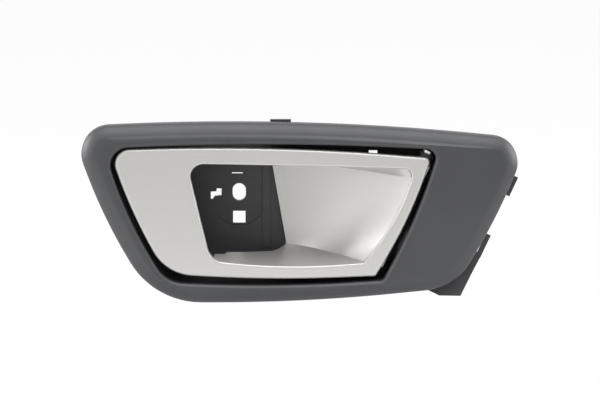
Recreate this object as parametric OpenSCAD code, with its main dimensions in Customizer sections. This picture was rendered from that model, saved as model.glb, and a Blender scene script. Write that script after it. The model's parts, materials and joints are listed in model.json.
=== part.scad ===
/* [Lever outline] */
// Length of the lever's top edge, corner to corner
lever_w = 149; // [138:1:160]
// Height of the lever at its left end
lever_h = 58.2; // [54:0.2:64]
// Lean of the lever's left end from upright
lean_left = 24.2; // [18:0.1:28]
// Lean of the lever's right end and of the hinge pin
lean_right = 24.8; // [20:0.1:28]
// Drop of the lever's top edge from left to right
top_fall = 3.7; // [0:0.1:6]
// Drop of the lever's bottom edge from left to right
bottom_fall = 0.9; // [0:0.1:3]
// Lever's top left corner, left of the fixing screw
lever_left = 60; // [56:0.5:66]
// Lever's top left corner, above the fixing screw
lever_top = 24; // [22:0.1:27]

/* [Lever section] */
// Wall of the lever's face
lever_t = 2.2; // [1.8:0.1:2.6]
// Depth of the return flange round the lever
skirt_d = 2.6; // [2.4:0.05:2.7]
// Radius of the lever's outer edge
edge_r = 1; // [0.6:0.1:1.4]
// Crown of the lever's face from its top and bottom to its middle
crown_h = 0.7; // [0.2:0.1:1]
// Width of the grip plate left of the window
grip_w = 36.2; // [30:0.2:42]
// Slope of the window's left edge from upright
grip_lean = 13.4; // [8:0.2:18]
// Depth of the rounded lip that the fingers pull on
grip_lip = 5; // [4:0.5:8]
// Face left above the window
strip_top = 6.5; // [5:0.1:8]
// Face left below the window
strip_bottom = 6.4; // [5:0.1:8]
// Face left at the window's right
strip_right = 7.8; // [7:0.1:9.5]

/* [Finger bowl] */
// Depth of the ramp's foot behind the lever's face
ramp_d = 24; // [18:0.5:26]
// Hollow of the ramp, where 1 is flat
ramp_bend = 1.6; // [1.2:0.05:1.8]
// Wall of the ramp and of the bowl's top and bottom
ramp_t = 2; // [1.6:0.1:2.4]
// Ramp's foot, right of the fixing screw
foot_x = 17.9; // [14:0.1:26]
// Lean of the ramp's foot from upright
foot_lean = 10; // [4:0.5:14]
// Slope of the bowl's bottom wall
bottom_draft = 15.5; // [8:0.5:19]
// Slope of the bowl's top wall
top_draft = 0.8; // [0.4:0.1:8]
// Depth of the bottom wall at its left end
shelf_d = 10.7; // [8:0.1:15]

/* [Bezel] */
// Width of the bezel's rim left of the opening
rim_left = 16; // [13:0.1:19]
// Width of the wide pad right of the opening, at the top
rim_right = 42; // [34:0.5:52]
// Height of the bezel's rim over the opening
rim_top = 9.4; // [9:0.1:13]
// Height of the bezel's rim under the opening
rim_bottom = 10; // [9.5:0.1:13]
// Wall of the bezel
bezel_t = 2.4; // [2:0.1:2.8]
// Radius of the bezel's outer shoulder
shoulder_r = 5; // [4:0.25:6]
// Radius of the bezel's inner edge
lip_r = 2; // [1.4:0.1:2.4]
// Fall of the bezel's face from its inner edge to its shoulder
face_fall = 0.9; // [0.2:0.1:1.4]
// Depth of the bezel from face to rim
bezel_d = 11; // [10:0.5:13]
// Depth of the bezel's inner lip
lip_d = 6; // [5:0.5:7]

/* [Gaps] */
// Gap between lever and bezel at the left end
gap_left = 2.2; // [2:0.1:4]
// Gap over the lever at its top left corner
gap_top = 0.6; // [0.5:0.1:3]
// Gap over the lever at its top right corner
gap_top_right = 3.8; // [2:0.1:4.5]
// Gap under the lever at its bottom left corner
gap_bottom = 3.8; // [2:0.1:4]
// Gap between lever and bezel at the right end
gap_right = 3.5; // [3.2:0.1:4]
// How far the lever's face lies behind the bezel's
lever_inset = 1; // [0.5:0.1:2]

/* [Housing] */
// Height of the bezel's face over the rear seat
body_d = 33; // [31:0.5:38]
// Wall of the tray's floor
floor_t = 2.5; // [2:0.1:3]
// Height of the rear screw seat over the floor's back
seat_h = 1.5; // [1:0.1:2.5]
// Radius of the rear screw seat
seat_r = 13; // [11:0.5:14]
// Wall of the tray's sides
tray_t = 1.8; // [1.5:0.1:2.2]
// Room between the bezel's opening and the tray's sides
tray_gap = 1; // [0.6:0.1:1.4]
// Wall of the flange that carries the bezel
flange_t = 2; // [1.6:0.1:2.4]
// Width of the fixing screw's slot
slot_w = 6.2; // [5:0.1:7]
// Length of the fixing screw's slot
slot_l = 8.4; // [7.4:0.1:10]
// Radius of the seat for the screw's cap
cap_r = 12.5; // [10:0.5:14]
// Cap seat's centre, below the fixing screw
cap_drop = 3.2; // [2:0.1:4]
// Side of the square hole that holds the cap
key_w = 5.8; // [4.5:0.1:7]

/* [Hinge] */
// Radius of the hinge pin
pin_r = 1.5; // [1.25:0.05:1.75]
// Height of the hinge pin over the rear seat
pin_h = 25.6; // [25:0.1:25.9]
// Hinge pin inside the lever's right edge
pin_in = 4; // [3.4:0.1:4.6]
// Running clearance between the pin and its bushes
bush_play = 0.05; // [0.02:0.01:0.09]
// Wall of the hinge bushes
bush_t = 1; // [0.8:0.1:1.2]
// Radius of the lever's hinge knuckles
knuckle_r = 4; // [3.8:0.1:4.4]
// Length of the lever's hinge knuckles
knuckle_l = 7; // [5:0.5:8]
// Radius of the housing's hinge lugs
lug_r = 3.4; // [3:0.1:3.5]
// Width of the housing's hinge lugs along the pin
lug_l = 4; // [3:0.2:5]
// End play between moving and fixed pieces
end_play = 0.3; // [0.3:0.05:0.5]
// How far the lever opens
open_angle = 24; // [18:1:24]

/* [Crank and cable] */
// Distance from the pin to the cable's eye
crank_l = 28; // [26:0.5:32]
// Width of the crank arm
crank_w = 5; // [4:0.5:6]
// Thickness of the crank arm along the pin
crank_t = 6; // [5:0.5:7]
// Radius of the eye for the cable's end
eye_r = 2.2; // [1.8:0.1:2.5]
// Width of the slots for the cable's wire
wire_w = 1.6; // [1.2:0.1:2]
// Radius of the seat for the cable's sheath
sheath_r = 2.6; // [2.2:0.1:3]
// Distance from the pin to the cable bracket
bracket_x = 38; // [36:0.5:40]
// Wall of the cable bracket
bracket_t = 3; // [2.5:0.1:3.5]

/* [Spring and stops] */
// Diameter of the return spring's wire
spring_wire = 1.1; // [0.9:0.05:1.2]
// Turns of the return spring
spring_turns = 6; // [4:1:8]
// Radius of the rubber bump stops
stop_r = 4; // [3:0.25:5]
// Gap between a stop and what it stops
stop_gap = 0.3; // [0.3:0.05:0.5]

/* [Fasteners] */
// Radius of the bezel screws' shanks
screw_r = 1.5; // [1.25:0.05:1.75]
// Radius of the bezel screws' heads
screw_head_r = 2.9; // [2.6:0.1:3.1]
// Width of the spring clips
clip_w = 9; // [7:0.5:11]
// Thickness of the spring clips' steel
clip_t = 0.6; // [0.5:0.05:0.8]

/* [Hidden] */
$fn = 48;

// Steps of each rounded stretch of an outline
arc_steps = 6;
// Share of a side between its corners that its bow rounds
bow_share = 0.9;
// Smallest radius of an inset corner
least_r = 0.3;
// Overlap that joins the shapes of one piece
bite = 0.4;
// Extra reach of a cutting shape
cut = 1;

// Heights along Y, where the rear seat is 0 and the front is negative
bezel_y = -body_d;
lever_y = bezel_y + lever_inset;
lever_back = lever_y + lever_t;
rim_y = bezel_y + bezel_d;
floor_back = -seat_h;
floor_y = floor_back - floor_t;
flange_y = rim_y - flange_t;
foot_y = lever_y + ramp_d;

// Points of a plane in XZ, and helpers on them
function xz(v) = [v[0], v[1]];
function unit(v) = v / norm(v);
function turned(v) = [-v[1], v[0]];
function at_y(p, y) = [p[0], y, p[1]];
function mix(a, b, t) = a + (b - a) * t;

// Arc of radius r that rounds the corner b between a and c
function corner_arc(a, b, c, r) = let (
    u = unit(a - b),
    v = unit(c - b),
    half = acos(u * v) / 2,
    centre = b + unit(u + v) * r / sin(half),
    p = b + u * r / tan(half) - centre,
    q = b + v * r / tan(half) - centre,
    start = atan2(p[1], p[0]),
    turn = (atan2(q[1], q[0]) - start + 540) % 360 - 180
) [for (i = [0 : arc_steps])
    centre + r * [cos(start + turn * i / arc_steps), sin(start + turn * i / arc_steps)]];

// Four corners [x, z, r], clockwise from top left, with a bow on the side after each
function half_angle(a, b, c) = acos(unit(a - b) * unit(c - b)) / 2;
function bowed(corners, bows) = let (
    middles = [for (i = [0 : 3]) let (p = xz(corners[i]), q = xz(corners[(i + 1) % 4]))
        (p + q) / 2 + bows[i] * turned(unit(q - p))],
    reach = [for (i = [0 : 3])
        corners[i][2] / tan(half_angle(middles[(i + 3) % 4], xz(corners[i]), middles[i]))]
) [for (i = [0 : 3]) let (
    p = xz(corners[i]),
    q = xz(corners[(i + 1) % 4]),
    m = middles[i],
    t = bow_share * min(norm(m - p) - reach[i], norm(m - q) - reach[(i + 1) % 4])
) each [corners[i], [m[0], m[1], t * tan(half_angle(p, m, q))]]];

// The same outline, moved inwards by d
function inset(outline, d) = [for (i = [0 : 7]) let (
    a = xz(outline[(i + 7) % 8]),
    b = xz(outline[i]),
    c = xz(outline[(i + 1) % 8]),
    n1 = turned(unit(b - a)),
    n2 = turned(unit(c - b)),
    p = b - d * (n1 + n2) / (1 + n1 * n2)
) [p[0], p[1], max(outline[i][2] - d, least_r)]];

// Points round an outline
function rounded(outline) = [for (i = [0 : 7])
    each corner_arc(xz(outline[(i + 7) % 8]), xz(outline[i]), xz(outline[(i + 1) % 8]), outline[i][2])];
function ring(outline, d, y) = [for (p = rounded(inset(outline, d))) at_y(p, y)];
// Place of a point on an outline: its corner or side, and its step along the arc
function spot(side, step) = side * (arc_steps + 1) + step;

// Lever's corners
lever_tl = [-lever_left, lever_top];
lever_tr = lever_tl + [lever_w, -top_fall];
lever_bl = lever_tl + [lever_h * tan(lean_left), -lever_h];
right_h = lever_h - top_fall + bottom_fall;
lever_br = lever_tr - [right_h * tan(lean_right), right_h];
lever_outline = bowed([
    [lever_tl[0], lever_tl[1], 7],
    [lever_tr[0], lever_tr[1], 2.2],
    [lever_br[0], lever_br[1], 1.2],
    [lever_bl[0], lever_bl[1], 21.8]
], [4.2, 3.4, 2.5, 2.4]);

// Window's corners
window_tl = lever_tl + [grip_w, -strip_top];
window_tr = lever_tr - [strip_right, strip_top - 1.3];
window_br = lever_br + [-strip_right + 2.3, strip_bottom];
window_h = window_tl[1] - lever_bl[1] - strip_bottom;
window_bl = window_tl + [window_h * tan(grip_lean), -window_h];
window_outline = bowed([
    [window_tl[0], window_tl[1], 5.9],
    [window_tr[0], window_tr[1], 3.5],
    [window_br[0], window_br[1], 1.2],
    [window_bl[0], window_bl[1], 8]
], [0.4, 4.4, 3.3, 0.1]);

// Bezel's opening
open_tl = lever_tl + [-gap_left, gap_top];
open_tr = lever_tr + [gap_right, gap_top_right];
open_br = lever_br + [gap_right, -gap_bottom / 2];
open_bl = lever_bl - [0, gap_bottom];
open_outline = bowed([
    [open_tl[0], open_tl[1], 5.5],
    [open_tr[0], open_tr[1], 4.5],
    [open_br[0], open_br[1], 2.5],
    [open_bl[0], open_bl[1], 15]
], [3.6, 3, 2.8, 3.6]);

// Bezel's outer edge
bezel_outline = bowed([
    [open_tl[0] - rim_left, open_tl[1] + rim_top, 13.2],
    [open_tr[0] + rim_right, open_tr[1] + rim_top - 5.3, 12.5],
    [open_br[0] + rim_right * 0.8, open_br[1] - rim_bottom * 0.4, 26.5],
    [open_bl[0] - rim_left * 0.34, open_bl[1] - rim_bottom, 38]
], [7.4, 2.6, 3.6, 4]);
tray_outline = inset(open_outline, -tray_gap);

// A closed skin through rings of equal length, the last joined to the first
module ring_skin(rings) {
    n = len(rings[0]);
    m = len(rings);
    polyhedron(
        points = [for (r = rings) each r],
        faces = [for (j = [0 : m - 1], i = [0 : n - 1]) let (
            a = j * n + i,
            b = j * n + (i + 1) % n,
            c = ((j + 1) % m) * n + (i + 1) % n,
            d = ((j + 1) % m) * n + i
        ) each [[a, b, c], [a, c, d]]],
        convexity = 8
    );
}

// A sheet through rows of equal length, thickened by push
module sheet(rows, push) {
    n = len(rows[0]);
    m = len(rows);
    under = m * n;
    front = [for (r = rows) each r];
    skins = [for (j = [0 : m - 2], i = [0 : n - 2]) let (
        a = j * n + i,
        b = a + 1,
        c = b + n,
        d = a + n
    ) each [
        [a, b, c], [a, c, d],
        [a + under, c + under, b + under], [a + under, d + under, c + under]
    ]];
    rim = concat(
        [for (i = [0 : n - 2]) i],
        [for (j = [0 : m - 2]) j * n + n - 1],
        [for (i = [n - 1 : -1 : 1]) (m - 1) * n + i],
        [for (j = [m - 1 : -1 : 1]) j * n]
    );
    walls = [for (k = [0 : len(rim) - 1]) let (
        a = rim[k],
        b = rim[(k + 1) % len(rim)]
    ) each [[a, a + under, b + under], [a, b + under, b]]];
    points = concat(front, [for (p = front) p + push]);
    polyhedron(points = points, faces = concat(skins, walls), convexity = 6);
}

// A flat plate of an outline, from y0 at the front to y1 behind
module plate(outline, y0, y1) {
    translate([0, y1, 0]) rotate([90, 0, 0]) linear_extrude(y1 - y0) polygon(rounded(outline));
}

// A round bar along Y, from y0 to y1
module rod_y(x, z, r, y0, y1) {
    translate([x, y1, z]) rotate([90, 0, 0]) cylinder(r = r, h = y1 - y0);
}

// A box from one corner to the other
module block(low, high) {
    translate(low) cube(high - low);
}

// Hinge pin: its point level with the fixing screw, and its direction
pin_dir = [sin(lean_right), 0, cos(lean_right)];
edge_x = lever_tr[0] - lever_tr[1] * tan(lean_right) + 2;
pin_point = [edge_x - pin_in / cos(lean_right), -pin_h, 0];

// Places what follows on the pin: Z along it, X square to it, 0 level with the fixing screw
module on_pin(s = 0) {
    translate(pin_point + s * pin_dir) rotate([0, lean_right, 0]) children();
}

// Stations along the pin
lug_top = (lever_top - top_fall) / cos(lean_right) - 2.3;
lug_bottom = -(lever_h + bottom_fall - lever_top) / cos(lean_right) + 5;
flange_l = 0.8;
bush_r = pin_r + bush_play;
upper_end = lug_top - end_play - flange_l;
lower_end = lug_bottom + end_play + flange_l;
upper_start = upper_end - knuckle_l;
hub_end = lower_end + 15;
crank_s = hub_end - crank_t / 2;
spring_s = hub_end + 1;
pin_top = lug_top + lug_l;
pin_bottom = lug_bottom - lug_l;

// Thickness of stiffening ribs, and their depth behind the lever's face and behind the ramp
rib_t = 1.4;
rib_d = 2.2;
ramp_rib_d = 3.4;
// Radius of a bush's seat, and the play round what only passes through
seat_bore = bush_r + bush_t;
free_play = 0.4;
coil_room = pin_r + 2 * free_play + spring_wire;
// Return spring: its coil, the boss for its fixed end and the post that its other end pushes
spring_r = pin_r + free_play + spring_wire / 2;
spring_pitch = spring_wire * 1.1;
spring_steps = 16;
spring_low = spring_s + spring_wire / 2;
spring_top = spring_low + spring_pitch * (spring_turns + 0.5);
spring_boss_h = 3.5;
post_r = 1.2;
post_x = post_r + 0.1 - pin_r - free_play;
post_y = crank_l * 0.45;
// Reach from the pin to the back of the lever's face
pin_reach = -pin_h - lever_back + bite;
// Wall round the cable's eye and round its sheath
eye_wall = 1.8;
clip_wall = 1.6;
// Open stop: its radius, its place from the pin, and the cheeks that hold it
open_r = 2;
open_side = crank_w / 2 + open_r + stop_gap;
open_at = [
    -20 * sin(open_angle) - open_side * cos(open_angle),
    20 * cos(open_angle) - open_side * sin(open_angle)
];
crank_room = crank_t / 2 + 1.2;
cheek_t = 1.6;
crank_swing = crank_l * sin(open_angle) + eye_r + eye_wall + 0.7;
// Edges of the tabs and of the cable bracket: outwards from the pin, and along it
tab_reach = 43.5;
tab_root = 36;
tab_low = 21;
bracket_low = -34.5;
bracket_high = 0.6;
bracket_root = 25;
bracket_half = 7;
bracket_cut = [10, 4];
// Slot and step of the bracket's upper end, and the fold where its lower end turns forward
sliver = [39.4, -9, 41.2, -2.2];
step_s = -10.4;
step_d = 1;
fold_z = -34.3;
fold_lean = 19;
fold_h = 13;
// Tabs at the right and at the top of the rim
tab_w = 9.6;
tab_x = 19.4;
tab_over = 1;
// Pin's head, its end past the lower lug, and the groove for its clip
pin_head_r = 2.7;
pin_tail = 1.6;
pin_head_h = 1.2;
retainer_r = pin_r + 1.2;
groove_r = pin_r - 0.4;
// Square hole that holds the screw's cap
key_z = -11.8;
// Openings of the tray's floor: left, bottom, right, top
floor_vents = [
    [-3.4, 8.4, 1.7, 9.4], [-13.3, -3.4, -10.2, 0.3], [-10.6, -1.9, -8.3, 1.7], [60.5, 15.8, 64.5, 19.8]
];
step_x = 11;
peg_at = [-10.9, -3];
peg_r = 1.1;
// Ribs and pads on the tray's back
back_rib_h = 1.1;
back_rib_z = [-17, seat_r];
back_rib_x = [-44, -17, 20, 48];
pad_size = [18, 14];
pad_places = [[-seat_r - 17, -4], [seat_r + 21, 0]];
// Bump stops: places, height over their posts, and stem
stop_l = 4;
stem_r = 1.8;
stop_places = [lever_tl + [15 + 14 * tan(lean_left), -14], lever_tl + [15 + 46 * tan(lean_left), -46]];
// Play between the flange and the bezel's wall
flange_play = 0.5;
// Bezel screws: their grip in the bezel, head and boss
screw_grip = 5;
screw_head_h = 1.9;
boss_t = 1.1;
// Towers for the spring clips, and the clips' barbs
tower_t = 1.6;
tower_h = 10;
barb_angle = 12;
barb_l = 5;
// Places round the rim: corner or side, step along it, and distance out from the tray's side
near = tower_t / 2 + clip_t + barb_l * sin(barb_angle) + 0.4;
far = rim_right - 10;
screw_spots = [[0, 2, screw_head_r + 0.3], [3, 1, 10], [3, 5, 10]];
clip_spots = [[7, 3, near], [1, 2, near], [3, 3, rim_right / 2], [5, 5, near]];
rib_spots = [
    [7, 1, 9], [7, 5, 9], [6, 3, 9], [5, 3, 9], [5, 1, 9], [4, 3, 9], [1, 0, 9], [1, 4, 9],
    [1, 6, 9], [3, 2, far], [3, 4, far]
];
gusset_d = 9;

// Finger bowl: where the window's edge lies, and how deep each wall goes
window_points = rounded(window_outline);
right_edge = concat(
    [window_points[spot(2, arc_steps)]],
    [for (j = [0 : arc_steps]) window_points[spot(3, j)]],
    [window_points[spot(4, 0)]]
);
top_edge = [for (j = [0 : 2 * arc_steps + 1]) window_points[spot(1, 0) + j]];
bottom_edge = [for (j = [0 : 3 * arc_steps + 2]) window_points[spot(4, 0) + j]];
bezel_points = rounded(bezel_outline);
top_rim = [for (j = [0 : 3 * arc_steps + 2]) bezel_points[j]];
function edge_z(edge, x) = lookup(x, [for (p = edge) p]);
function foot_at(z) = [foot_x - z * tan(foot_lean), z];
foot_top = edge_z(top_edge, foot_x) - ramp_d * tan(top_draft);
foot_bottom = edge_z(bottom_edge, foot_x) + ramp_d * tan(bottom_draft);

// The ramp: depth and place at a share u of the way from the window's right edge to its foot
bowl_y = lever_y + edge_r;
ramp_steps = 8;
shelf_left = window_bl[0] + 7;
shelf_rise = 0.22;
chamfer_slope = 1.75;
function ramp_depth(u) = ramp_d * (1 - pow(1 - u, ramp_bend));
function ramp_point(i, u) = let (foot = foot_at(mix(foot_top, foot_bottom, i / (len(right_edge) - 1))))
    at_y(mix(right_edge[i], foot, u), bowl_y + ramp_depth(u));
// How far a wall runs on into the ramp, and the ramp behind the walls
wall_lap = ramp_t / 2;
ramp_lap = ramp_t * 0.75;

// A wall of the bowl, from the window's edge to the ramp's crease and on to its left end
module bowl_wall(edge, i, left, rise, out) {
    foot = ramp_point(i, 1);
    fold = [for (k = [0 : ramp_steps - 1]) ramp_point(i, (k + 0.2) / ramp_steps)];
    lapped = [for (p = fold) p + wall_lap * [0, 1, (p[2] - edge_z(edge, p[0])) / max(p[1] - bowl_y, 1)]];
    rear = concat(lapped, [
        for (t = [0.01, each [0.12 : 0.11 : 1]]) let (
            x = mix(foot[0], left, t),
            chamfer = ramp_d + wall_lap - (foot[0] - x) * chamfer_slope,
            d = max(shelf_d + (x - shelf_left) * shelf_rise, chamfer)
        ) [x, bowl_y + d, edge_z(edge, x) + d * rise]
    ]);
    front = [for (p = rear) [p[0], bowl_y, edge_z(edge, p[0])]];
    sheet(out > 0 ? [rear, front] : [front, rear], [0, 0, out * ramp_t]);
}

module bowl_ramp(thick) {
    last = len(right_edge) - 1;
    sheet([for (k = [0 : ramp_steps]) let (row = [for (i = [0 : last]) ramp_point(i, k / ramp_steps)]) concat(
        [row[0] + ramp_lap * unit(row[0] - row[1])],
        [for (i = [1 : last - 1]) row[i]],
        [row[last] + ramp_lap * unit(row[last] - row[last - 1])]
    )], thick * unit([0.4, 0.92, 0]));
}

// The lever's face: a ring raised towards its middle height
crown_z = lever_top - lever_h / 2;
crown_half = lever_h / 2 + 3;
function crowned(points) = [for (p = points)
    p - [0, crown_h * (1 - pow((p[2] - crown_z) / crown_half, 2)), 0]];
function face_ring(outline, d, y) = crowned(ring(outline, d, y));

// Lever: face ring, bowl, ribs, knuckles and crank
module lever_face() {
    ring_skin([
        ring(lever_outline, 0, lever_y + skirt_d),
        face_ring(lever_outline, 0, lever_y + edge_r),
        face_ring(lever_outline, edge_r * 0.3, lever_y + edge_r * 0.3),
        face_ring(lever_outline, edge_r, lever_y),
        face_ring(window_outline, -edge_r, lever_y),
        face_ring(window_outline, -edge_r * 0.3, lever_y + edge_r * 0.3),
        face_ring(window_outline, 0, lever_y + edge_r),
        ring(window_outline, 0, lever_back),
        ring(lever_outline, 1.6, lever_back),
        ring(lever_outline, 1.6, lever_y + skirt_d)
    ]);
}

function grip_at(across, down) = lever_tl + [across + down * tan(lean_left), -down];

function lip_at(down) =
    window_tl + [(down - strip_top) * tan(grip_lean) - rib_t, strip_top - down];

// A rib behind the lever's face between two points
module face_rib(a, b, depth) {
    side = rib_t / 2 * turned(unit(b - a));
    translate([0, lever_back + depth, 0]) rotate([90, 0, 0])
        linear_extrude(depth + bite) polygon([a - side, a + side, b + side, b - side]);
}

module grip_ribs() {
    face_rib(lip_at(strip_top + 2), lip_at(strip_top + window_h - 5), grip_lip - lever_t);
    face_rib(grip_at(5, 6), grip_at(5, 44), rib_d);
    for (down = [8, 20, 40]) face_rib(grip_at(5, down), lip_at(down), rib_d);
}

module ramp_ribs() {
    intersection() {
        on_pin() for (s = [lower_end + 3, hub_end - 1.5, -3, upper_end - 3])
            block([-34, -6, s], [-1, foot_y + pin_h, s + rib_t]);
        bowl_ramp(ramp_t + ramp_rib_d);
    }
}

module knuckles() {
    on_pin() {
        for (span = [[lower_end, hub_end], [upper_start, upper_end]]) translate([0, 0, span[0]]) {
            cylinder(r = knuckle_r, h = span[1] - span[0]);
            block([-1.2, -pin_reach, 0], [knuckle_r - 0.7, 0, span[1] - span[0]]);
        }
    }
}

module crank() {
    on_pin(crank_s - crank_t / 2) {
        linear_extrude(crank_t)
            polygon([[-crank_w / 2, 0], [knuckle_r, 0], [crank_w / 2, crank_l], [-crank_w / 2, crank_l]]);
        translate([0, crank_l, 0]) cylinder(r = eye_r + eye_wall, h = crank_t);
        translate([post_x, post_y, crank_t - bite]) cylinder(r = post_r, h = bite + 1.6 + spring_wire);
    }
}

module lever_bores() {
    on_pin() {
        translate([0, 0, lower_end - cut]) cylinder(r = seat_bore, h = knuckle_l + cut);
        translate([0, 0, lower_end]) cylinder(r = pin_r + free_play, h = upper_end - lower_end);
        translate([0, 0, hub_end]) cylinder(r = coil_room, h = upper_start - hub_end);
        translate([0, 0, upper_start - cut]) cylinder(r = seat_bore, h = knuckle_l + 2 * cut);
    }
    on_pin(crank_s) {
        translate([0, crank_l, -crank_t]) cylinder(r = eye_r, h = 2 * crank_t);
        block([0, crank_l - wire_w / 2, -crank_t], [eye_r + eye_wall + cut, crank_l + wire_w / 2, crank_t]);
    }
}

module lever() {
    color("silver") difference() {
        union() {
            lever_face();
            bowl_ramp(ramp_t);
            bowl_wall(bottom_edge, len(right_edge) - 1, shelf_left, tan(bottom_draft), -1);
            bowl_wall(top_edge, 0, foot_x - 12, -tan(top_draft), 1);
            grip_ribs();
            ramp_ribs();
            knuckles();
            crank();
        }
        lever_bores();
    }
}

// Bezel: a rolled skin, and a boss for each screw
bezel_under = bezel_y + bezel_t;
function shoulder(r, a) = [shoulder_r - r * cos(a), bezel_y + shoulder_r - (r - face_fall) * sin(a)];
function face_row(t) = [for (i = [0 : len(bezel_points) - 1]) at_y(
    mix(rounded(inset(bezel_outline, shoulder_r))[i], rounded(inset(open_outline, -lip_r))[i], t),
    bezel_y + face_fall * pow(1 - t, 2)
)];

module bezel_skin() {
    outside = [for (a = [0 : 18 : 90]) shoulder(shoulder_r, a)];
    inside = [for (a = [90 : -30 : 0]) shoulder(shoulder_r - bezel_t, a)];
    lip = [for (a = [90 : -30 : 0]) [lip_r - lip_r * cos(a), bezel_y + lip_r - lip_r * sin(a)]];
    ring_skin(concat(
        [ring(bezel_outline, 0, rim_y)],
        [for (p = outside) ring(bezel_outline, p[0], p[1])],
        [face_row(0.4)],
        [for (p = lip) ring(open_outline, -p[0], p[1])],
        [ring(open_outline, 0, bezel_y + lip_d), ring(open_outline, -bezel_t, bezel_y + lip_d)],
        [ring(open_outline, -bezel_t, bezel_under)],
        [for (p = inside) ring(bezel_outline, p[0], p[1])],
        [ring(bezel_outline, bezel_t, rim_y)]
    ));
}

module bezel() {
    color("dimgray") difference() {
        union() {
            bezel_skin();
            for (s = screw_spots) let (p = screw_at(s))
                rod_y(p[0], p[1], screw_r + boss_t, bezel_under - bite, flange_y);
        }
        for (s = screw_spots) let (p = screw_at(s))
            rod_y(p[0], p[1], screw_r, flange_y - screw_grip, flange_y + cut);
    }
}

// Rim band: the flange's edge, and places measured outwards from the tray's side
flange_outline = inset(bezel_outline, bezel_t + flange_play);
tray_points = rounded(inset(tray_outline, -tray_t));
function rim_out(s) = let (i = spot(s[0], s[1]))
    turned(unit(tray_points[i + 1] - tray_points[i - 1]));
function rim_at(s, off) = tray_points[spot(s[0], s[1])] + off * rim_out(s);
function screw_at(s) = rim_at(s, s[2]);

// Places what follows on the rim band: X outwards, Y behind the flange
module on_rim(s, off) {
    p = rim_at(s, off);
    out = rim_out(s);
    translate([p[0], rim_y, p[1]]) rotate([0, -atan2(out[1], out[0]), 0]) children();
}

module tray() {
    difference() {
        plate(inset(tray_outline, -tray_t), flange_y, floor_back);
        plate(tray_outline, bezel_y, floor_y);
    }
}

module flange() {
    difference() {
        plate(flange_outline, flange_y, rim_y);
        plate(inset(tray_outline, -tray_t / 2), bezel_y, floor_y);
    }
    intersection() {
        for (s = rib_spots) on_rim(s, 0) translate([0, 0, -rib_t / 2]) linear_extrude(rib_t)
            polygon([[-bite, -bite], [s[2], -bite], [-bite, gusset_d]]);
        plate(flange_outline, flange_y, floor_back);
    }
}

module hinge_lugs() {
    on_pin() for (s = [lug_top, lug_bottom - lug_l]) translate([0, 0, s]) {
        cylinder(r = lug_r, h = lug_l);
        block([-lug_r, 0, 0], [lug_r, pin_h + floor_y + bite, lug_l]);
        block([-lug_r - 5, pin_h + floor_y - 8, lug_l / 2 - rib_t / 2],
            [-lug_r + bite, pin_h + floor_y + bite, lug_l / 2 + rib_t / 2]);
    }
}

module stop_posts() {
    for (p = stop_places) {
        rod_y(p[0], p[1], stop_r, lever_back + stop_gap + stop_l, floor_y + bite);
    }
}

// Cheeks either side of the crank that hold the rubber open stop
module stop_cheeks() {
    on_pin(crank_s) for (side = [0, 1]) mirror([0, 0, side]) {
        half = open_r + 1.2;
        block([open_at[0] - half, open_at[1] - half, crank_room],
            [open_at[0] + half, pin_h + floor_y + bite, crank_room + cheek_t]);
    }
}

// The bracket's outline as seen from the front, on the pin: X square to it, Y along it
bracket_outline = [
    [bracket_root, bracket_low],
    [tab_reach - bracket_cut[0], bracket_low],
    [tab_reach - 1, bracket_low + bracket_cut[1]],
    [tab_reach, step_s],
    [bracket_root, step_s]
];

module bracket_plate(y0, y1) {
    on_pin() translate([0, pin_h + y1, 0]) rotate([90, 0, 0])
        linear_extrude(y1 - y0) polygon(bracket_outline);
}

// The bracket's lower end, turned forward under the bezel's corner and clear of its wall
module bracket_foot() {
    fold_y = rim_y + step_d;
    tip_y = fold_y - fold_h * tan(fold_lean);
    difference() {
        intersection() {
            bracket_plate(tip_y, fold_y + bite);
            rotate([90, 0, 90]) linear_extrude(2 * rim_right + pin_point[0]) polygon([
                [fold_y + bite, fold_z + bite / tan(fold_lean)],
                [tip_y, fold_z - fold_h], [fold_y + bite, fold_z - fold_h]
            ]);
        }
        plate(inset(bezel_outline, -free_play), bezel_y, rim_y);
    }
}

module cable_bracket() {
    low = crank_s - bracket_half;
    high = crank_s + bracket_half;
    front = pin_h + rim_y;
    root = front + step_d + bite;
    bracket_plate(rim_y + step_d, rim_y + flange_t + step_d);
    intersection() {
        bracket_plate(rim_y - bite, rim_y + step_d + bite);
        plate(flange_outline, flange_y, floor_back);
    }
    bracket_foot();
    on_pin() {
        difference() {
            block([tab_root, front, step_s - bite], [tab_reach, front + flange_t, bracket_high]);
            block([sliver[0], front - cut, sliver[1]], [sliver[2], front + flange_t + cut, sliver[3]]);
        }
        block([bracket_x, root, low], [bracket_x + bracket_t, crank_l + sheath_r + 4, high]);
        for (s = [low, high - rib_t]) translate([0, 0, s]) linear_extrude(rib_t)
            polygon([[bracket_root, root], [bracket_x + cut, root], [bracket_x + cut, crank_l]]);
    }
}

module side_tabs() {
    front = pin_h + rim_y;
    on_pin() block([tab_root, front, tab_low], [tab_reach, front + flange_t, tab_low + tab_w]);
    top = edge_z(top_rim, tab_x) + tab_over;
    block([tab_x - tab_w / 2, rim_y, top - 8], [tab_x + tab_w / 2, rim_y + flange_t, top]);
}

module clip_towers() {
    for (s = clip_spots) on_rim(s, s[2])
        block([-tower_t / 2, -bite, -clip_w / 2 + 1], [tower_t / 2, tower_h, clip_w / 2 - 1]);
}

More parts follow.
